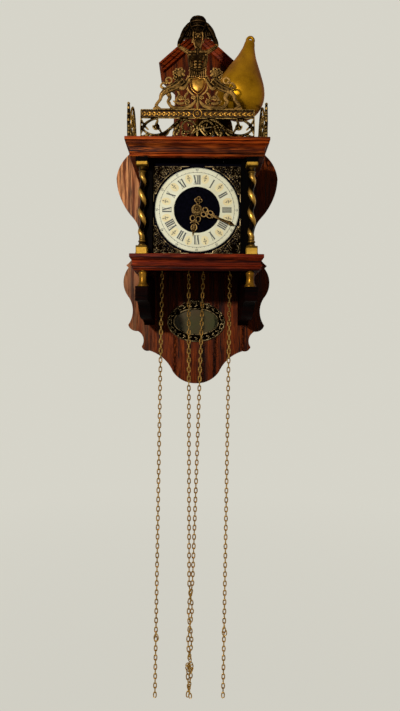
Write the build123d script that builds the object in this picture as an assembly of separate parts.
from build123d import *
from math import asin, atan2, ceil, cos, degrees, hypot, pi, radians, sin
import os

# A wall clock of the Zaandam kind: a moulded case on a shaped backboard, with a brass crest,
# a short pendulum behind the board, and two chains that pass over sprockets.
# Millimetres. X to the right, Z up, the clock faces -Y. The wall is the plane Y = 0, and the
# origin is the centre of the hanger hole at the wall.

# Backboard
BOARD_BACK = -25.0
BOARD_THICK = 12.0
BOARD_FRONT = BOARD_BACK - BOARD_THICK

# Case, measured from the hanger hole
CORNICE_TOP = -16.0
CORNICE_BOTTOM = -46.0
CORNICE_HALF = 117.0
CORNICE_FRONT = -197.0
BASE_TOP = -203.0
BASE_BOTTOM = -229.5
BASE_HALF = 109.0
BASE_FRONT = -191.0
ROOF_THICK = 9.0
SEAT_THICK = 10.0
STILE_FRONT = -170.0
STILE_BACK = -161.0
STILE_INNER = 73.5
CASE_HALF = 87.5

# Columns
COLUMN_X = 89.5
COLUMN_Y = -180.5
COLUMN_BLOCK = 18.5
COLUMN_WIRE_R = 5.0
COLUMN_THROW = 1.3
COLUMN_PITCH = 33.0

# Door hinges, as an upright axis at the right door's rear edge
HINGE_X = CASE_HALF + 1.3
HINGE_Y = -51.0
HINGE_R = 2.2
HINGE_PIN_R = 1.0
HINGE_LEVELS = (-66.0, -182.0)
KNUCKLE = 8.0

# Dial
DIAL_Z = -125.5
RING_OUTER_R = 71.0
RING_INNER_R = 38.0
MINUTE_HAND_ANGLE = 112.5
HOUR_HAND_ANGLE = 189.0

# Brackets and feet
FOOT_X = 89.0
FOOT_Y = -179.0
ARM_TOP = -256.0
ARM_WIDTH = 20.0

# Window for the pendulum
WINDOW_Z = -307.0
WINDOW_HALF_X = 43.0
WINDOW_HALF_Z = 25.0

# Gallery, crest and weight
GALLERY_Y = -188.0
GALLERY_THICK = 2.5
GALLERY_HALF = 92.5
RAIL_TOP = 30.0
RAIL_BOTTOM = 15.0
SIDE_GALLERY_X = 112.0
CREST_BACK = -184.0
CREST_THICK = 6.0
GLOBE_Z = 168.5
GLOBE_R = 16.0
WEIGHT_TILT = 10.7
BELL_X = 28.0
BELL_Y = -122.0
BELL_R = 36.0
BELL_RIM = 14.0

# Movement: plates and arbors, each arbor as its place seen from the front
PLATE_HALF = 75.0
PLATE_TOP = -58.0
PLATE_BOTTOM = BASE_TOP
FRONT_PLATE_Y = -132.5
BACK_PLATE_Y = -70.0
PLATE_THICK = 2.5
ARBOR_R = 1.5
PIVOT_PLAY = 0.06
SPROCKET_X = 36.9
SPROCKET_Z = -142.0
THIRD_AT = (-17.1, -106.4)
ESCAPE_AT = (0.0, -87.87)
ANCHOR_Z = -70.0
MINUTE_WHEEL_Z = DIAL_Z - 19.2
PIN_WHEEL_AT = (40.0, -109.77)
FLY_AT = (52.0, -95.82)
HAMMER_AT = (46.0, -78.0)

# Chains
LINK_PITCH = 8.3
LINK_WIRE = 1.2
LINK_PLAY = 0.5
LINK_END_HALF = 1.3
LINK_SIDE_HALF = 2.0
WRAP_LINKS = 18
SPROCKET_R = LINK_PITCH / 2 / sin(pi / WRAP_LINKS)
CHAIN_Y = -102.0
CHAIN_END = -982.0
CHAIN_LEAN = 9.0 / 840.0
TWIST_START = -770.0
KNOT_TOP = -917.0
KNOT_BOTTOM = -938.0


def box_between(x0, x1, y0, y1, z0, z1):
    """A block between two corners."""
    at = Pos((x0 + x1) / 2, (y0 + y1) / 2, (z0 + z1) / 2)
    return at * Box(abs(x1 - x0), abs(y1 - y0), abs(z1 - z0))


def rod_y(x, z, radius, y0, y1):
    """A round rod that runs from front to back."""
    return Pos(x, (y0 + y1) / 2, z) * Rot(90, 0, 0) * Cylinder(radius, abs(y1 - y0))


def rod_z(x, y, radius, z0, z1):
    """An upright round rod."""
    return Pos(x, y, (z0 + z1) / 2) * Cylinder(radius, abs(z1 - z0))


def cut_out(sketch, back, thick):
    """A flat piece seen from the front as the sketch, whose rear face is at Y = back."""
    return extrude(Plane.XZ.offset(-back) * sketch, amount=thick)


def turned(points, x, y):
    """A piece turned about an upright axis. Points are radius and height, from the bottom up."""
    outline = make_face(Plane.XZ * Polyline((0, points[0][1]), *points, (0, points[-1][1]), close=True))
    return Pos(x, y, 0) * revolve(outline, Axis.Z)


def mirrored(shape):
    """The same shape on the other side of the clock."""
    return mirror(shape, Plane.YZ)


def both_sides(shape):
    """One piece on each side, kept as two solids."""
    return Compound(children=[shape, mirrored(shape)])


def arc_band(x, z, radius, start, sweep_angle, width):
    """A strip along an arc about (x, z), angles in degrees from the right, anticlockwise."""
    return trace(CenterArc((x, z), radius, start, sweep_angle), line_width=width)


def disc(x, z, radius):
    """A round patch of a sketch."""
    return Pos(x, z) * Circle(radius)


# Case


def board_outline():
    """Right half of the shaped board as one closed face on X and Z."""
    runs = [
        Polyline((0, 242), (73, 177), (70, 156), (60, 147), (43, 131), (46, 60)),
        ThreePointArc((46, 60), (55, 38), (76, 28)),
        ThreePointArc((76, 28), (134, 8), (154, -34)),
        ThreePointArc((154, -34), (145, -74), (124, -106)),
        ThreePointArc((124, -106), (109.5, -137), (116, -171)),
        ThreePointArc((116, -171), (123, -188), (134.5, -200)),
        Line((134.5, -200), (130, -204.5)),
        ThreePointArc((130, -204.5), (139.5, -230), (128.5, -262)),
        ThreePointArc((128.5, -262), (121.5, -288), (130, -314)),
        ThreePointArc((130, -314), (123.5, -323), (112, -325.5)),
        ThreePointArc((112, -325.5), (101.5, -337), (104, -355)),
        ThreePointArc((104, -355), (98, -362.5), (89, -363)),
        ThreePointArc((89, -363), (62, -378), (44, -403)),
        ThreePointArc((44, -403), (24, -420), (0, -425)),
        Line((0, -425), (0, 242)),
    ]
    return make_face(Curve() + runs)


def build_backboard():
    half = board_outline()
    outline = half + mirror(half, Plane.YZ)
    outline -= Pos(0, WINDOW_Z) * Ellipse(WINDOW_HALF_X - 1, WINDOW_HALF_Z - 1)
    outline -= disc(0, ANCHOR_Z, 6)
    return cut_out(outline, BOARD_BACK, BOARD_THICK)


def build_gable_mouldings():
    """Two raking mouldings on the gable, mitred at the peak."""
    rake_x, rake_z = 73.0, 65.0
    run = hypot(rake_x, rake_z)
    corners = [(0, 0), (0, 20), (3.5, 20), (3.5, 17), (8, 14), (8, 10), (12, 8), (12, 0)]
    section = make_face(Polyline(*corners, close=True))
    start = Plane(
        origin=(rake_x, BOARD_FRONT, 242 - rake_z),
        x_dir=(-rake_z / run, 0, -rake_x / run),
        z_dir=(-rake_x / run, 0, rake_z / run),
    )
    bar = extrude(start * section, amount=run + 30)
    bar &= box_between(0, 120, -80, 0, 100, 300)
    return both_sides(bar)


def build_wall_battens():
    """Two spacers hold the board off the wall, and leave room for the pendulum."""
    upper = box_between(-58, 58, BOARD_BACK, 0, -16, 16)
    upper -= box_between(-14, 14, -3, 0.1, -10, 10)
    upper -= rod_y(0, 0, 9, -16, 0)
    lower = box_between(-50, 50, BOARD_BACK, 0, -372, -350)
    return Compound(children=[upper, lower])


def build_hanger_plate():
    plate = box_between(-14, 14, -3, 0, -10, 10)
    return plate - rod_y(0, 0, 4, -4, 1)


def moulding(profile, half, front, level):
    """A profile carried round the front and both sides, mitred at the corners."""
    corners = [(-half, BOARD_FRONT), (-half, front), (half, front), (half, BOARD_FRONT)]
    path = Polyline(*[(x, y, level) for x, y in corners])
    start = Plane(origin=(-half, BOARD_FRONT, level), x_dir=(-1, 0, 0), z_dir=(0, -1, 0))
    return sweep(start * profile, path=path, transition=Transition.RIGHT)


def build_cornice():
    inset = 5.0
    depth = 14.0
    runs = [
        Polyline((-depth, 0), (inset, 0), (inset, 7.0), (4.0, 7.6)),
        RadiusArc((4.0, 7.6), (0.8, 21.0), -22),
        Polyline((0.8, 21.0), (1.8, 22.0), (1.8, 24.5), (0.6, 25.2), (1.4, 26.2), (1.4, 28.6), (0, 30)),
        Polyline((0, 30), (-depth, 30), (-depth, 0)),
    ]
    profile = make_face(Curve() + runs)
    return moulding(profile, CORNICE_HALF - inset, CORNICE_FRONT + inset, CORNICE_TOP)


def build_roof_board():
    inner = CORNICE_HALF - 19.0
    board = box_between(-inner, inner, BOARD_FRONT, CORNICE_FRONT + 19, CORNICE_TOP - ROOF_THICK, CORNICE_TOP)
    return board - box_between(34, 52, BELL_Y - 6, BELL_Y + 6, -40, 0)


def build_base_moulding():
    inset = 4.0
    depth = 14.0
    runs = [
        Polyline((-depth, 0), (inset, 0), (inset, 4.6), (3.0, 5.2)),
        RadiusArc((3.0, 5.2), (0.2, 16.6), -18),
        Polyline((0.2, 16.6), (1.3, 17.6), (1.3, 20.0), (0.3, 20.8), (0.9, 21.8), (0.9, 24.4), (0, 26.5)),
        Polyline((0, 26.5), (-depth, 26.5), (-depth, 0)),
    ]
    profile = make_face(Curve() + runs)
    return moulding(profile, BASE_HALF - inset, BASE_FRONT + inset, BASE_TOP)


def build_seat_board():
    inner = BASE_HALF - 18.0
    board = box_between(-inner, inner, BOARD_FRONT, BASE_FRONT + 18, BASE_TOP - SEAT_THICK, BASE_TOP)
    for side in (-1, 1):
        for offset in (-SPROCKET_R, SPROCKET_R):
            x = side * SPROCKET_X + offset
            board -= box_between(x - 6, x + 6, CHAIN_Y - 8, CHAIN_Y + 8, BASE_TOP - 30, BASE_TOP + 1)
    return board


def build_case_posts():
    """Dark stiles beside the dial, and the rear posts with the fixed half of each door hinge."""
    stile = box_between(STILE_INNER, CASE_HALF, STILE_FRONT, STILE_BACK, BASE_TOP, CORNICE_BOTTOM)
    post = box_between(CASE_HALF - 9, CASE_HALF, BOARD_FRONT - 12, BOARD_FRONT, BASE_TOP, CORNICE_TOP - 30)
    for level in HINGE_LEVELS:
        post += rod_z(HINGE_X, HINGE_Y, HINGE_R, level - KNUCKLE, level - 0.2)
        post += box_between(CASE_HALF - 0.5, HINGE_X, HINGE_Y, BOARD_FRONT - 11, level - KNUCKLE, level - 0.2)
        post += rod_z(HINGE_X, HINGE_Y, HINGE_PIN_R, level - 1, level + KNUCKLE - 1)
    return Compound(children=[stile, mirrored(stile), post, mirrored(post)])


def ring_wire(x, y, z, radius, sides):
    """A regular outline about a point, used as one ring of a twisted shaft."""
    turns = [2 * pi * k / sides for k in range(sides)]
    corners = [Vector(x + radius * cos(turn), y + radius * sin(turn), z) for turn in turns]
    return Wire.make_polygon(corners, close=True)


def build_twisted_columns():
    """Shaft whose round section circles the column's axis once each pitch, with turned ends."""
    sides = 10
    twist_bottom, twist_top = -177.0, -72.0
    turned_foot = [(6, -190), (6, -187), (4.6, -185), (6.2, -182), (4.6, -179)]
    turned_neck = [(4.6, -71), (6.2, -68.5), (4.8, -66), (5.6, -61)]
    rings = [ring_wire(0, 0, z, radius, sides) for radius, z in turned_foot]
    steps = 26
    for step in range(steps + 1):
        part = step / steps
        z = twist_bottom + (twist_top - twist_bottom) * part
        turn = 2 * pi * (z - twist_bottom) / COLUMN_PITCH
        throw = COLUMN_THROW * min(1, 8 * part, 8 * (1 - part))
        rings.append(ring_wire(throw * cos(turn), throw * sin(turn), z, COLUMN_WIRE_R, sides))
    rings += [ring_wire(0, 0, z, radius, sides) for radius, z in turned_neck]
    column = Pos(COLUMN_X, COLUMN_Y, 0) * Solid.make_loft(rings, ruled=True)
    return both_sides(column)


def build_column_blocks():
    """Brass caps and bases, with a thin wooden pad above each cap left to the cornice."""
    half = COLUMN_BLOCK / 2
    cap = box_between(-half, half, -half, half, -61, CORNICE_BOTTOM)
    base = box_between(-half, half, -half, half, BASE_TOP, -190)
    cap = chamfer(cap.edges().filter_by(Axis.Z), 1.2)
    base = chamfer(base.edges().filter_by(Axis.Z), 1.2)
    place = Pos(COLUMN_X, COLUMN_Y, 0)
    return Compound(children=[place * cap, place * base, mirrored(place * cap), mirrored(place * base)])


def build_bracket_arms():
    """Arms from the board to the front of the base, with an ogee underneath."""
    runs = [
        Polyline((BOARD_FRONT, BASE_BOTTOM), (-96, BASE_BOTTOM)),
        Spline((-96, BASE_BOTTOM), (-118, -236), (-138, -250), (-166, ARM_TOP)),
        Polyline((-166, ARM_TOP), (-190, ARM_TOP), (-190, -279), (-168, -279)),
        Spline((-168, -279), (-150, -282), (-120, -300), (-80, -305), (-50, -308), (BOARD_FRONT, -314)),
        Polyline((BOARD_FRONT, -314), (BOARD_FRONT, BASE_BOTTOM)),
    ]
    side = make_face(Curve() + runs)
    arm = extrude(Plane.YZ.offset(FOOT_X - ARM_WIDTH / 2) * side, amount=ARM_WIDTH)
    return both_sides(arm)


def build_brass_feet():
    """Bell-shaped brass feet between the arms and the base."""
    profile = [(9.4, ARM_TOP), (9.4, -253), (5.2, -248), (5.2, -238), (7, -234), (4, BASE_BOTTOM)]
    return both_sides(turned(profile, FOOT_X, FOOT_Y))


# Dial


def build_dial_plate():
    plate = box_between(-78, 78, STILE_BACK, STILE_BACK + 1.5, BASE_TOP, CORNICE_BOTTOM)
    return plate - rod_y(0, DIAL_Z, 5.4, -170, -150)


def build_chapter_ring():
    ring = disc(0, DIAL_Z, RING_OUTER_R) - disc(0, DIAL_Z, RING_INNER_R)
    return cut_out(ring, STILE_BACK, 2.0)


def build_dial_corners():
    """Four cast corners, each a triangle bounded by the ring, with one piercing."""
    edge = 73.0
    sketch = Pos(edge / 2, edge / 2) * Rectangle(edge, edge) - Circle(RING_OUTER_R + 0.8)
    sketch -= Pos(edge, 0) * Rectangle(12, 50)
    sketch -= Pos(0, edge) * Rectangle(50, 12)
    sketch -= disc(62, 62, 4.2)
    corner = cut_out(sketch, 0, 1.4)
    corners = []
    for turn in range(4):
        corners.append(Pos(0, STILE_BACK, DIAL_Z) * Rot(0, 90 * turn, 0) * corner)
    return Compound(children=corners)


# Wheels


def wheel_outline(teeth, module, phase):
    """Outline with pointed teeth. Phase is the angle of one tooth, anticlockwise from the right."""
    pitch = 2 * pi / teeth
    root = module * teeth / 2 - 1.25 * module
    tip = module * teeth / 2 + 0.9 * module
    corners = []
    for tooth in range(teeth):
        middle = radians(phase) + tooth * pitch
        for share, radius in ((-0.3, root), (0, tip), (0.3, root)):
            angle = middle + share * pitch
            corners.append((radius * cos(angle), radius * sin(angle)))
    return make_face(Polyline(*corners, close=True))


def crossings(inner, outer, arms, arm_half):
    """Windows between the arms of a wheel, each bounded by two arcs and two arms."""
    windows = []
    for k in range(arms):
        start = 2 * pi * k / arms
        end = 2 * pi * (k + 1) / arms
        a0, a1 = start + asin(arm_half / inner), end - asin(arm_half / inner)
        b0, b1 = start + asin(arm_half / outer), end - asin(arm_half / outer)
        middle = (start + end) / 2
        runs = [
            ThreePointArc(*[(inner * cos(a), inner * sin(a)) for a in (a0, middle, a1)]),
            Line((inner * cos(a1), inner * sin(a1)), (outer * cos(b1), outer * sin(b1))),
            ThreePointArc(*[(outer * cos(a), outer * sin(a)) for a in (b1, middle, b0)]),
            Line((outer * cos(b0), outer * sin(b0)), (inner * cos(a0), inner * sin(a0))),
        ]
        windows.append(make_face(Curve() + runs))
    return windows


def wheel(at, teeth, module, phase, back, thick, arms=4, rim=3.2, hub=5.0):
    """A crossed-out wheel blank with teeth, centred at a place seen from the front."""
    outline = wheel_outline(teeth, module, phase)
    inner_rim = module * teeth / 2 - 1.25 * module - rim
    if arms:
        for window in crossings(hub, inner_rim, arms, 1.6):
            outline -= window
    return cut_out(Pos(*at) * outline, back, thick)


def pinion(at, leaves, module, phase, back, length):
    """A solid pinion on its arbor."""
    return cut_out(Pos(*at) * wheel_outline(leaves, module, phase), back, length)


def bearing(start, end):
    """Angle from one arbor to another, in degrees, anticlockwise from the right."""
    return degrees(atan2(end[1] - start[1], end[0] - start[0]))


def module_for(start, end, teeth):
    """Module that puts the pitch circles of two wheels against each other."""
    return 2 * hypot(end[0] - start[0], end[1] - start[1]) / teeth


TIME_AT = (-SPROCKET_X, SPROCKET_Z)
STRIKE_AT = (SPROCKET_X, SPROCKET_Z)
CENTRE_AT = (0.0, DIAL_Z)
MINUTE_WHEEL_AT = (0.0, MINUTE_WHEEL_Z)

GREAT_TEETH, CENTRE_LEAVES = 48, 8
CENTRE_TEETH, THIRD_LEAVES = 60, 6
THIRD_TEETH, ESCAPE_LEAVES = 60, 6
CANNON_TEETH, MINUTE_TEETH = 8, 24
MINUTE_LEAVES, HOUR_TEETH = 8, 32
STRIKE_TEETH, PIN_LEAVES = 48, 6
PIN_TEETH, FLY_LEAVES = 36, 6
ESCAPE_TEETH = 37
ESCAPE_R = 13.0

GREAT_MODULE = module_for(TIME_AT, CENTRE_AT, GREAT_TEETH + CENTRE_LEAVES)
CENTRE_MODULE = module_for(CENTRE_AT, THIRD_AT, CENTRE_TEETH + THIRD_LEAVES)
THIRD_MODULE = module_for(THIRD_AT, ESCAPE_AT, THIRD_TEETH + ESCAPE_LEAVES)
CANNON_MODULE = module_for(CENTRE_AT, MINUTE_WHEEL_AT, CANNON_TEETH + MINUTE_TEETH)
HOUR_MODULE = module_for(CENTRE_AT, MINUTE_WHEEL_AT, MINUTE_LEAVES + HOUR_TEETH)
STRIKE_MODULE = module_for(STRIKE_AT, PIN_WHEEL_AT, STRIKE_TEETH + PIN_LEAVES)
PIN_MODULE = module_for(PIN_WHEEL_AT, FLY_AT, PIN_TEETH + FLY_LEAVES)


def arbor(at, radius=ARBOR_R, front=FRONT_PLATE_Y - PLATE_THICK, back=BACK_PLATE_Y + PLATE_THICK):
    """An arbor that runs in both plates."""
    return rod_y(at[0], at[1], radius, front, back)


def half_step(leaves):
    """Half the angle between two leaves, which puts a gap where a tooth would be."""
    return 180 / leaves


def build_plates():
    """Front and back plates with a pivot hole for each arbor that runs in them."""
    outline = Pos(0, (PLATE_TOP + PLATE_BOTTOM) / 2) * Rectangle(2 * PLATE_HALF, PLATE_TOP - PLATE_BOTTOM)
    outline -= Pos(0, PLATE_BOTTOM) * Rectangle(60, 60)
    pivot_hole_r = ARBOR_R + PIVOT_PLAY
    going = [TIME_AT, CENTRE_AT, THIRD_AT, ESCAPE_AT, (0, ANCHOR_Z)]
    striking = [STRIKE_AT, PIN_WHEEL_AT, FLY_AT, HAMMER_AT]
    for hole in going + striking:
        outline -= disc(*hole, pivot_hole_r)
    front = cut_out(outline - disc(*MINUTE_WHEEL_AT, pivot_hole_r), FRONT_PLATE_Y, PLATE_THICK)
    back = cut_out(outline, BACK_PLATE_Y + PLATE_THICK, PLATE_THICK)
    return front, back


def build_pillars():
    """Four pillars hold the plates apart."""
    pillars = []
    for x in (-68, 68):
        for z in (-65, -193):
            pillars.append(rod_y(x, z, 3, FRONT_PLATE_Y, BACK_PLATE_Y))
    return Compound(children=pillars)


def build_time_great_wheel():
    toward = bearing(TIME_AT, CENTRE_AT)
    back = -122.5
    blank = wheel(TIME_AT, GREAT_TEETH, GREAT_MODULE, toward, back, 3) + rod_y(*TIME_AT, 6, -129.5, back)
    return blank - rod_y(*TIME_AT, ARBOR_R + PIVOT_PLAY, -140, -115)


def build_centre_arbor():
    """Arbor, centre pinion and cannon pinion, with the squared end that carries the hand."""
    toward = bearing(CENTRE_AT, TIME_AT)
    body = rod_y(*CENTRE_AT, ARBOR_R, -160, BACK_PLATE_Y + PLATE_THICK)
    body += pinion(CENTRE_AT, CENTRE_LEAVES, GREAT_MODULE, toward + half_step(CENTRE_LEAVES), -119, 10)
    body += pinion(CENTRE_AT, CANNON_TEETH, CANNON_MODULE, -90, -137, 4)
    body += rod_y(*CENTRE_AT, 3.2, -167.6, -136)
    return body


def build_centre_wheel():
    toward = bearing(CENTRE_AT, THIRD_AT)
    blank = wheel(CENTRE_AT, CENTRE_TEETH, CENTRE_MODULE, toward, -90, 2)
    return blank - rod_y(*CENTRE_AT, ARBOR_R, -100, -80)


def build_third_wheel():
    toward_centre = bearing(THIRD_AT, CENTRE_AT)
    toward_escape = bearing(THIRD_AT, ESCAPE_AT)
    phase = toward_centre + half_step(THIRD_LEAVES)
    body = arbor(THIRD_AT)
    body += wheel(THIRD_AT, THIRD_TEETH, THIRD_MODULE, toward_escape, -77, 1.8, arms=0)
    return body + pinion(THIRD_AT, THIRD_LEAVES, CENTRE_MODULE, phase, -86, 9)


def build_escape_wheel():
    """Hooked teeth, each with a radial face and a slanting back."""
    corners = []
    for tooth in range(ESCAPE_TEETH):
        for share, radius in ((0, ESCAPE_R), (0.12, ESCAPE_R), (0.62, ESCAPE_R - 2.6)):
            angle = 2 * pi * (tooth + share + 0.25) / ESCAPE_TEETH
            corners.append((radius * cos(angle), radius * sin(angle)))
    outline = make_face(Polyline(*corners, close=True))
    toward = bearing(ESCAPE_AT, THIRD_AT)
    body = arbor(ESCAPE_AT) + cut_out(Pos(*ESCAPE_AT) * outline, -85.5, 1.5)
    return body + pinion(ESCAPE_AT, ESCAPE_LEAVES, THIRD_MODULE, toward + half_step(ESCAPE_LEAVES), -74, 8)


def build_anchor():
    """Anchor, its arbor and the crutch that drives the pendulum behind the board."""
    arms = Curve() + [
        ThreePointArc((-15.6, -11), (0, 4.5), (15.6, -11)),
        Line((15.6, -11), (13.9, -12)),
        ThreePointArc((13.9, -12), (0, -1), (-13.9, -12)),
        Line((-13.9, -12), (-15.6, -11)),
    ]
    sketch = Pos(0, ANCHOR_Z) * (make_face(arms) + Circle(3.6))
    body = cut_out(sketch, -85, 2.5) + rod_y(0, ANCHOR_Z, ARBOR_R, FRONT_PLATE_Y - PLATE_THICK, -16.5)
    crutch = box_between(-2, 2, -21, -18.5, ANCHOR_Z - 38, ANCHOR_Z)
    pin = rod_y(0, ANCHOR_Z - 35, 1.2, -20, -9)
    return body + crutch + rod_y(0, ANCHOR_Z, 4, -21, -18.5) + pin


def build_pendulum_rod():
    """Flat rod with a slot for the crutch pin, hung on its own pivot."""
    bottom = WINDOW_Z - 22
    sketch = Pos(0, (ANCHOR_Z + bottom) / 2) * Rectangle(4.5, ANCHOR_Z - bottom) + disc(0, ANCHOR_Z, 5)
    sketch += Pos(0, ANCHOR_Z - 35) * Rectangle(8, 16)
    sketch -= Pos(0, ANCHOR_Z - 35) * Rectangle(3.0, 9)
    sketch -= disc(0, ANCHOR_Z, 2.06)
    return cut_out(sketch, -12, 2)


def build_pendulum_bob():
    """Lens-shaped brass bob, slotted for the rod."""
    lens = [(0, -6), (13, -5), (22, 0), (13, 5), (0, 6)]
    profile = make_face(Plane.XZ * Polyline(*lens, close=True))
    bob = Pos(0, -13, WINDOW_Z) * Rot(90, 0, 0) * revolve(profile, Axis.Z)
    return bob - box_between(-2.3, 2.3, -14.05, -11.95, WINDOW_Z - 40, WINDOW_Z + 40)


def build_pendulum_cock():
    """Bracket on the back of the board whose stud carries the pendulum."""
    sketch = Pos(0, ANCHOR_Z + 21) * Rectangle(26, 18)
    for x in (-8, 8):
        sketch -= disc(x, ANCHOR_Z + 21, 1.6)
    foot = cut_out(sketch, -22, 3)
    neck = box_between(-5, 5, -24, -5, ANCHOR_Z + 15, ANCHOR_Z + 19)
    drop = box_between(-5, 5, -8, -5, ANCHOR_Z - 5, ANCHOR_Z + 19)
    stud = rod_y(0, ANCHOR_Z, 2.0, -15, -6)
    return foot + neck + drop + stud


def build_minute_wheel():
    phase = 90 + half_step(MINUTE_TEETH)
    body = rod_y(*MINUTE_WHEEL_AT, ARBOR_R, -147, FRONT_PLATE_Y)
    body += wheel(MINUTE_WHEEL_AT, MINUTE_TEETH, CANNON_MODULE, phase, -138, 2.5, arms=0)
    return body + pinion(MINUTE_WHEEL_AT, MINUTE_LEAVES, HOUR_MODULE, 90, -142, 4)


def build_hour_wheel():
    """Hour wheel on the pipe that carries the hour hand, running on the cannon pinion."""
    body = wheel(CENTRE_AT, HOUR_TEETH, HOUR_MODULE, -90 + half_step(HOUR_TEETH), -143, 2, arms=0)
    body += rod_y(*CENTRE_AT, 4.6, -165.4, -143.5)
    return body - rod_y(*CENTRE_AT, 3.28, -180, -130)


def hand_at(sketch, clock_angle, back, thick):
    """A hand drawn pointing up, turned to its place on the dial."""
    return cut_out(Pos(*CENTRE_AT) * Rot(0, 0, -clock_angle) * sketch, back, thick)


def build_minute_hand():
    """Boss, two pairs of loops, then a tapering blade."""
    sketch = Circle(7.2)
    for side in (-1, 1):
        sketch += disc(side * 4.2, 15, 5.0)
        sketch += disc(side * 3.2, 25.5, 4.2)
    blade = [(-2, 0), (-1.3, 40), (-2.6, 55), (0, 67), (2.6, 55), (1.3, 40), (2, 0)]
    sketch += make_face(Polyline(*blade, close=True))
    for side in (-1, 1):
        sketch -= disc(side * 4.6, 15, 2.9)
        sketch -= disc(side * 3.7, 25.5, 2.3)
    hand = hand_at(sketch, MINUTE_HAND_ANGLE, -167.6, 1.2)
    return hand + rod_y(*CENTRE_AT, 3.4, -171.5, -168)


def build_hour_hand():
    """Trefoil tail, boss and two loops with a leaf-shaped tip."""
    sketch = Circle(6.4) - Circle(4.6)
    for side in (-1, 1):
        sketch += disc(side * 5.2, 16, 5.2) - disc(side * 5.2, 16, 3.0)
    leaf = [(-1.6, 5.5), (-4, 24), (-5, 30), (0, 45), (5, 30), (4, 24), (1.6, 5.5)]
    sketch += make_face(Polyline(*leaf, close=True))
    sketch += Pos(0, -9.75) * Rectangle(3.2, 8.5)
    for x, z in ((-4.6, -14), (4.6, -14), (0, -19)):
        sketch += disc(x, z, 3.6)
    return hand_at(sketch, HOUR_HAND_ANGLE, -164.2, 1.2)


def build_sprocket(at, turn):
    """Chain wheel: two toothed cheeks, a groove between them and the arbor."""
    rim = []
    lobes = WRAP_LINKS // 2
    for k in range(lobes):
        middle = 2 * pi * k / lobes + radians(turn)
        for share, radius in ((-0.44, 20.4), (-0.2, 20.4), (-0.12, 25.0), (0.12, 25.0), (0.2, 20.4)):
            angle = middle + share * 2 * pi / lobes
            rim.append((radius * cos(angle), radius * sin(angle)))
    cheek = Pos(*at) * make_face(Polyline(*rim, close=True))
    body = arbor(at)
    body += cut_out(cheek, CHAIN_Y + 5.4, 2.2)
    body += cut_out(cheek, CHAIN_Y - 3.2, 2.2)
    return body + rod_y(*at, 19.6, CHAIN_Y - 4, CHAIN_Y + 4)


def build_strike_great_wheel():
    toward = bearing(STRIKE_AT, PIN_WHEEL_AT)
    back = -81
    blank = wheel(STRIKE_AT, STRIKE_TEETH, STRIKE_MODULE, toward, back, 3) + rod_y(*STRIKE_AT, 6, -88, back)
    return blank - rod_y(*STRIKE_AT, ARBOR_R + PIVOT_PLAY, -90, -70)


def build_pin_wheel():
    """Second wheel of the striking train, with eight pins that lift the hammer tail."""
    toward_great = bearing(PIN_WHEEL_AT, STRIKE_AT)
    toward_fly = bearing(PIN_WHEEL_AT, FLY_AT)
    body = arbor(PIN_WHEEL_AT)
    body += wheel(PIN_WHEEL_AT, PIN_TEETH, PIN_MODULE, toward_fly, -73.5, 1.8, arms=0)
    body += pinion(PIN_WHEEL_AT, PIN_LEAVES, STRIKE_MODULE, toward_great + half_step(PIN_LEAVES), -79, 7)
    for k in range(8):
        angle = 2 * pi * (k + 0.5) / 8
        x = PIN_WHEEL_AT[0] + 13.0 * cos(angle)
        z = PIN_WHEEL_AT[1] + 13.0 * sin(angle)
        body += Pos(x, -76.5, z) * Box(1.2, 4, 1.2)
    return body


def build_fly():
    """Air brake: a flat vane on the last arbor of the striking train."""
    toward = bearing(FLY_AT, PIN_WHEEL_AT)
    body = arbor(FLY_AT) + rod_y(*FLY_AT, 2.6, -114, -92)
    body += Pos(FLY_AT[0], -103, FLY_AT[1]) * Rot(0, 35, 0) * Box(18, 22, 1)
    return body + pinion(FLY_AT, FLY_LEAVES, PIN_MODULE, toward + half_step(FLY_LEAVES), -72.5, 8)


def build_hammer():
    """Hammer arbor, tail, rod and head, which strikes the bell from inside."""
    x, z = HAMMER_AT
    body = arbor(HAMMER_AT) + rod_y(x, z, 3.2, BELL_Y - 3, BELL_Y + 3)
    body += rod_z(x, BELL_Y, 1.3, z, 24)
    body += Pos(x + 1, BELL_Y, 24) * Rot(0, 90, 0) * Cylinder(3.6, 12)
    tail = box_between(x - 1.2, x + 1.2, -79.5, -76.5, z - 16, z)
    return body + tail


def build_bell():
    """Cast bell on its post, mouth down."""
    wall = 1.6
    top = BELL_RIM + 42
    outer = [(BELL_R, BELL_RIM), (BELL_R - 3, BELL_RIM + 18)]
    outer += [(BELL_R - 11, BELL_RIM + 32), (BELL_R - 22, BELL_RIM + 40)]
    inner = [(BELL_R - 22, BELL_RIM + 40 - wall), (BELL_R - 11 - wall, BELL_RIM + 31)]
    inner += [(BELL_R - 3 - wall, BELL_RIM + 17.5), (BELL_R - wall, BELL_RIM)]
    outline = make_face(Plane.XZ * Polyline(*outer, (2.1, top), (2.1, top - wall), *inner, close=True))
    return Pos(BELL_X, BELL_Y, 0) * revolve(outline, Axis.Z)


def build_bell_post():
    """Post with a flanged foot on the roof and a nut over the bell."""
    shoulder = BELL_RIM + 42 - 1.6
    profile = [(7, CORNICE_TOP), (3, CORNICE_TOP + 4), (3, shoulder), (2.05, shoulder)]
    profile += [(2.05, shoulder + 1.65), (4.5, shoulder + 1.65), (2.5, shoulder + 7)]
    return turned(profile, BELL_X, BELL_Y)


# Doors


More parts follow.
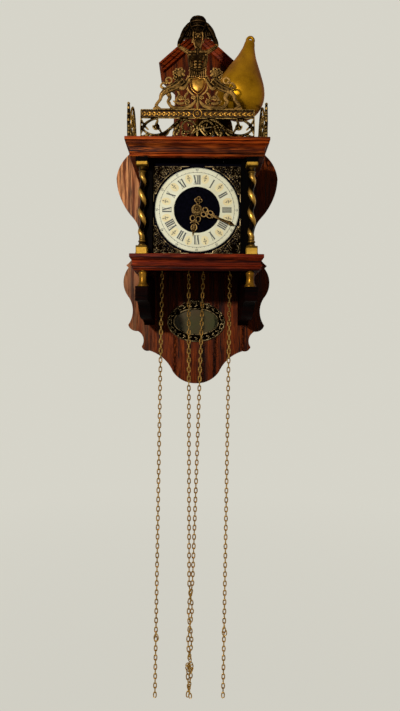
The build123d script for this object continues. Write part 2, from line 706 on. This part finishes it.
def build_door():
    """Right side door: a frame with an opening, a small turned knob and two hinge knuckles."""
    y_front, y_back = -158.6, BOARD_FRONT - 14.3
    z_low, z_high = BASE_TOP + 1.5, CORNICE_BOTTOM - 1.5
    frame = box_between(CASE_HALF - 7, CASE_HALF, y_front, y_back, z_low, z_high)
    frame -= box_between(CASE_HALF - 8, CASE_HALF + 1, y_front + 14, y_back - 14, z_low + 14, z_high - 14)
    groove = box_between(CASE_HALF - 5, CASE_HALF - 3, y_front + 10, y_back - 10, z_low + 10, z_high - 10)
    knob = Pos(CASE_HALF + 3, y_front + 7, DIAL_Z) * Rot(0, 90, 0) * Cylinder(3.2, 6)
    door = frame - groove + knob
    for level in HINGE_LEVELS:
        door -= rod_z(HINGE_X, HINGE_Y, HINGE_R + 0.3, level - KNUCKLE - 0.3, level)
        door += rod_z(HINGE_X, HINGE_Y, HINGE_R, level, level + KNUCKLE)
        door -= rod_z(HINGE_X, HINGE_Y, HINGE_PIN_R + 0.05, level - 1, level + KNUCKLE - 0.9)
    return door


def build_door_glass():
    y_front, y_back = -158.6, BOARD_FRONT - 14.3
    z_low, z_high = BASE_TOP + 1.5, CORNICE_BOTTOM - 1.5
    return box_between(CASE_HALF - 5, CASE_HALF - 3, y_front + 10, y_back - 10, z_low + 10, z_high - 10)


# Window


def build_window_frame():
    """Oval frame on the board with a rebate for the glass and a small crest at the top."""
    outline = Pos(0, WINDOW_Z - 1) * Ellipse(55, 38) + Pos(0, WINDOW_Z + 36) * Ellipse(14, 6)
    outline -= Pos(0, WINDOW_Z) * Ellipse(WINDOW_HALF_X - 2, WINDOW_HALF_Z - 2)
    return cut_out(outline, BOARD_FRONT, 4)


def build_window_glass():
    """Glass set into the board behind the frame."""
    return cut_out(Pos(0, WINDOW_Z) * Ellipse(WINDOW_HALF_X - 1, WINDOW_HALF_Z - 1), BOARD_FRONT + 2.0, 2.0)


# Gallery and crest


def scroll(x, z, radius, start, direction, width):
    """A scroll that winds inward by two half arcs and ends in a knob."""
    outer = arc_band(x, z, radius, start, 180 * direction, width)
    end = radians(start + 180 * direction)
    inner_radius = radius * 0.6
    x += (radius - inner_radius) * cos(end)
    z += (radius - inner_radius) * sin(end)
    inner = arc_band(x, z, inner_radius, start + 180 * direction, 150 * direction, width)
    tip = radians(start + 330 * direction)
    knob = disc(x + 0.7 * inner_radius * cos(tip), z + 0.7 * inner_radius * sin(tip), 0.45 * inner_radius)
    return outer + inner + knob


def build_gallery_front():
    """Rail with a boss, over scrolls that stand on the roof."""
    low = CORNICE_TOP
    middle = (low + RAIL_BOTTOM) / 2
    rail = Rectangle(GALLERY_HALF, RAIL_TOP - RAIL_BOTTOM)
    half = Pos(GALLERY_HALF / 2, (RAIL_TOP + RAIL_BOTTOM) / 2) * rail
    half += Pos(GALLERY_HALF / 2, low + 1.2) * Rectangle(GALLERY_HALF, 2.4)
    half += Pos(GALLERY_HALF - 1.5, middle) * Rectangle(3, RAIL_BOTTOM - low)
    half += scroll(17, middle, 13.5, 90, 1, 3.0)
    half += scroll(66, middle, 13.5, 90, -1, 3.0)
    half += arc_band(43, RAIL_BOTTOM + 1, 15.5, 180, 91, 3.0)
    half += arc_band(43, low + 1, 15.5, 0, 91, 3.0)
    sketch = half + mirror(half, Plane.YZ)
    sketch += disc(0, middle, 4.0) + Pos(0, middle) * Rectangle(3, RAIL_BOTTOM - low)
    plate = cut_out(sketch, GALLERY_Y, GALLERY_THICK)
    return plate + rod_y(0, (RAIL_TOP + RAIL_BOTTOM) / 2, 7.5, GALLERY_Y - 4, GALLERY_Y)


def build_side_galleries():
    """Pierced side pieces on the roof, highest in the middle, each with a point in front."""
    low = CORNICE_TOP
    runs = [
        Polyline((-186, low), (-186, 40), (-183, 46), (-180, 40), (-180, 22)),
        ThreePointArc((-180, 22), (-168, 20), (-158, 30)),
        ThreePointArc((-158, 30), (-143, 53), (-122, 62.5)),
        ThreePointArc((-122, 62.5), (-101, 53), (-86, 30)),
        ThreePointArc((-86, 30), (-76, 20), (-64, 22)),
        Polyline((-64, 22), (-64, low), (-186, low)),
    ]
    side = make_face(Curve() + runs)
    for y, z, r in ((-160, 3, 12), (-122, 32, 14), (-84, 3, 12)):
        side -= Pos(y, z) * Circle(r)
    plate = extrude(Plane.YZ.offset(SIDE_GALLERY_X - GALLERY_THICK / 2) * side, amount=GALLERY_THICK)
    return both_sides(plate)


def lion_outline():
    """Right-hand lion: hind paws on the rail, body rising to the mane, forepaw at the shield."""
    corners = [
        (72, 30), (60, 30), (61, 42), (52, 53), (44, 57), (46, 46), (38, 38), (44, 30), (31, 30),
        (31, 42), (36, 54), (24, 64), (12, 73), (12, 79), (24, 74), (18, 84), (20, 94), (29, 99),
        (38, 95), (42, 86), (42, 74), (54, 72), (59, 62), (66, 52), (70, 42), (74, 34),
    ]
    return make_face(Polyline(*corners, close=True)) + arc_band(48, 78, 6, -90, 270, 2.6)


def build_crest():
    """Two lions, a bare shield and the leaf scrolls below it, cast as one piece on the rail."""
    half = lion_outline()
    leaves = [(0, RAIL_TOP), (32, RAIL_TOP), (42, 34), (44, 43), (34, 38), (20, 37), (8, 41), (0, 56)]
    half += make_face(Polyline(*leaves, close=True))
    half += arc_band(12, 47, 6.0, 0, 240, 2.6)
    sketch = half + mirror(half, Plane.YZ)
    shield = make_face(Curve() + [
        Polyline((-14, 80), (0, 82), (14, 80), (13.5, 68)),
        ThreePointArc((13.5, 68), (9, 58), (0, 52)),
        ThreePointArc((0, 52), (-9, 58), (-13.5, 68)),
        Line((-13.5, 68), (-14, 80)),
    ])
    return cut_out(sketch + shield, CREST_BACK, CREST_THICK) + cut_out(shield, CREST_BACK - CREST_THICK, 3)


def build_atlas_figure():
    """Bearded man from head to draped hips, with both arms raised to the globe."""
    half = [
        (0, 161), (8, 158), (10.5, 150), (8, 138), (14, 124), (30, 130), (27, 146), (12, 162),
        (17, 168), (33, 150), (36, 132), (28, 122), (14, 112), (12, 95), (14, 83), (0, 82.2),
    ]
    right = make_face(Polyline(*half, close=True))
    sketch = right + mirror(right, Plane.YZ)
    return cut_out(sketch, CREST_BACK, CREST_THICK + 3)


def build_globe():
    """Ball carried on the shoulders, flattened where it is screwed to the figure."""
    latitudes = [radians(angle) for angle in range(-80, 81, 20)]
    rings = [(GLOBE_R * cos(turn), GLOBE_Z + 1 + GLOBE_R * sin(turn)) for turn in latitudes]
    return turned(rings, 0, CREST_BACK - 4) - figure_room()


def figure_room():
    """Room for the head and hands in front of the globe's lower half."""
    return box_between(-20, 20, CREST_BACK - CREST_THICK - 3, CREST_BACK, 100, 169)


def build_pear_weight():
    """Pear-shaped weight with an eye for the chain hook near its tip."""
    shoulder = [(12, -0.6), (25, 4.5), (36, 15), (42, 28), (43.3, 42), (40, 57), (33, 73)]
    neck = [(24, 91), (16, 107), (10, 122), (7.5, 138), (5, 144.5)]
    body = turned(shoulder + neck, 0, 0)
    for side in (-1, 1):
        body -= Pos(0, side * 13, 146) * Box(40, 20, 26)
    body -= Pos(0, 0, 137) * Rot(90, 0, 0) * Cylinder(3.9, 30)
    return Pos(66, BELL_Y, 46.2) * Rot(0, WEIGHT_TILT, 0) * body


# Chains


def link():
    """One link as a six-cornered ring of three-sided wire, lengthwise along Z and facing Y."""
    end = (LINK_PITCH + LINK_PLAY + LINK_WIRE) / 2
    corners = [(-LINK_END_HALF, end), (LINK_END_HALF, end), (LINK_SIDE_HALF, 0)]
    corners += [(LINK_END_HALF, -end), (-LINK_END_HALF, -end), (-LINK_SIDE_HALF, 0)]
    points = [Vector(x, 0, z) for x, z in corners]
    half = LINK_WIRE / 2
    rings = []
    for k, point in enumerate(points):
        before = (point - points[k - 1]).normalized()
        after = (points[(k + 1) % len(points)] - point).normalized()
        normal = Vector(-before.Z, 0, before.X)
        mitre = (normal + Vector(-after.Z, 0, after.X)).normalized()
        mitre = mitre * (1 / mitre.dot(normal))
        inner = point - mitre * half
        rings.append([inner + Vector(0, half, 0), inner - Vector(0, half, 0), point + mitre * half])
    faces = []
    for k, ring in enumerate(rings):
        following = rings[(k + 1) % len(rings)]
        for side in range(3):
            other = (side + 1) % 3
            corners = [ring[side], ring[other], following[other], following[side]]
            faces.append(Face(Wire.make_polygon(corners, close=True)))
    return Solid(Shell(faces))


LINK = link()


def link_at(point, direction, number):
    """A link centred at a point along a direction, each one a quarter turn from the last."""
    lean = Plane(origin=point, x_dir=Vector(0, 1, 0).cross(Vector(*direction)), z_dir=direction)
    return LINK.moved(Location(lean) * Rot(0, 0, 90 * (number % 2)))


def strand(route, first, last):
    """Links along a route, which gives a point for each height, between two joint numbers."""
    links = []
    for number in range(first, last):
        top = SPROCKET_Z - number * LINK_PITCH
        above = Vector(*route(top))
        below = Vector(*route(top - LINK_PITCH))
        links.append(link_at((above + below) * 0.5, above - below, number))
    return Compound(children=links)


def outer_route(side):
    """Hangs straight from the outer side of a sprocket."""
    start = side * (SPROCKET_X + SPROCKET_R)
    return lambda z: (start + CHAIN_LEAN * (z - SPROCKET_Z), CHAIN_Y, z)


def inner_route(side):
    """Hangs from the inner side, drifts to the middle and winds about the other strand."""
    start = side * (SPROCKET_X - SPROCKET_R)

    def at(z):
        lean = CHAIN_LEAN * (z - SPROCKET_Z)
        fall = min(1.0, max(0.0, (SPROCKET_Z - 90 - z) / (SPROCKET_Z - 90 - TWIST_START)))
        spread = abs(start) + (3.1 - abs(start)) * fall
        turn = max(0.0, TWIST_START - z) * 2 * pi / 110
        return (lean + side * spread * cos(turn), CHAIN_Y + side * spread * sin(turn), z)

    return at


STRAND_LINKS = int((SPROCKET_Z - CHAIN_END) / LINK_PITCH)
KNOT_FIRST = int((SPROCKET_Z - KNOT_TOP) / LINK_PITCH)
KNOT_LAST = ceil((SPROCKET_Z - KNOT_BOTTOM) / LINK_PITCH)


def build_inner_chain(side):
    """The strand above the knot and the tail below it."""
    route = inner_route(side)
    upper = strand(route, 1, KNOT_FIRST)
    lower = strand(route, KNOT_LAST, STRAND_LINKS)
    return Compound(children=list(upper.solids()) + list(lower.solids()))


def build_knot():
    """Where the two inner strands are knotted together, as one lump of their outer size."""
    link_end = LINK_WIRE + 0.7
    high = SPROCKET_Z - KNOT_FIRST * LINK_PITCH - link_end
    low = SPROCKET_Z - KNOT_LAST * LINK_PITCH + link_end
    lean = CHAIN_LEAN * ((high + low) / 2 - SPROCKET_Z)
    rise = high - low
    profile = [(4, low), (8, low + 0.5 * rise), (4, high)]
    return turned(profile, lean, CHAIN_Y)


def build_wrap(at, side):
    """Links that ride over the top of a sprocket, one short of the tangent at each end."""
    links = []
    for number in range(1, WRAP_LINKS // 2 - 1):
        angle = 2 * pi * (number + 0.5) / WRAP_LINKS
        apothem = SPROCKET_R * cos(pi / WRAP_LINKS)
        point = Vector(at[0] + side * apothem * cos(angle), CHAIN_Y, at[1] + apothem * sin(angle))
        along = Vector(side * sin(angle), 0, -cos(angle))
        links.append(link_at(point, along, number))
    return Compound(children=links)


PARTS = {}
PARTS["backboard"] = build_backboard()
PARTS["gable_mouldings"] = build_gable_mouldings()
PARTS["wall_battens"] = build_wall_battens()
PARTS["hanger_plate"] = build_hanger_plate()
PARTS["cornice"] = build_cornice()
PARTS["roof_board"] = build_roof_board()
PARTS["base_moulding"] = build_base_moulding()
PARTS["seat_board"] = build_seat_board()
PARTS["case_posts"] = build_case_posts()
PARTS["twisted_columns"] = build_twisted_columns()
PARTS["column_blocks"] = build_column_blocks()
PARTS["bracket_arms"] = build_bracket_arms()
PARTS["brass_feet"] = build_brass_feet()
PARTS["dial_plate"] = build_dial_plate()
PARTS["chapter_ring"] = build_chapter_ring()
PARTS["dial_corners"] = build_dial_corners()
PARTS["movement_front_plate"], PARTS["movement_back_plate"] = build_plates()
PARTS["plate_pillars"] = build_pillars()
PARTS["time_great_wheel"] = build_time_great_wheel()
PARTS["centre_arbor"] = build_centre_arbor()
PARTS["centre_wheel"] = build_centre_wheel()
PARTS["third_wheel"] = build_third_wheel()
PARTS["escape_wheel"] = build_escape_wheel()
PARTS["anchor"] = build_anchor()
PARTS["pendulum_rod"] = build_pendulum_rod()
PARTS["pendulum_bob"] = build_pendulum_bob()
PARTS["pendulum_cock"] = build_pendulum_cock()
PARTS["minute_wheel"] = build_minute_wheel()
PARTS["hour_wheel"] = build_hour_wheel()
PARTS["minute_hand"] = build_minute_hand()
PARTS["hour_hand"] = build_hour_hand()
PARTS["time_sprocket"] = build_sprocket(TIME_AT, 10)
PARTS["strike_sprocket"] = build_sprocket(STRIKE_AT, 10)
PARTS["strike_great_wheel"] = build_strike_great_wheel()
PARTS["pin_wheel"] = build_pin_wheel()
PARTS["fly"] = build_fly()
PARTS["hammer"] = build_hammer()
PARTS["bell"] = build_bell()
PARTS["bell_post"] = build_bell_post()
PARTS["right_door"] = build_door()
PARTS["left_door"] = mirrored(build_door())
PARTS["right_door_glass"] = build_door_glass()
PARTS["left_door_glass"] = mirrored(build_door_glass())
PARTS["window_frame"] = build_window_frame()
PARTS["window_glass"] = build_window_glass()
PARTS["gallery_front"] = build_gallery_front()
PARTS["side_galleries"] = build_side_galleries()
PARTS["crest"] = build_crest()
PARTS["atlas_figure"] = build_atlas_figure()
PARTS["globe"] = build_globe()
PARTS["pear_weight"] = build_pear_weight()
PARTS["time_chain_outer"] = strand(outer_route(-1), 1, STRAND_LINKS)
PARTS["strike_chain_outer"] = strand(outer_route(1), 1, STRAND_LINKS)
PARTS["time_chain_inner"] = build_inner_chain(-1)
PARTS["strike_chain_inner"] = build_inner_chain(1)
PARTS["time_chain_wrap"] = build_wrap(TIME_AT, -1)
PARTS["strike_chain_wrap"] = build_wrap(STRIKE_AT, 1)
PARTS["chain_knot"] = build_knot()

os.makedirs("parts", exist_ok=True)
for name, shape in PARTS.items():
    export_step(shape, f"parts/{name}.step")
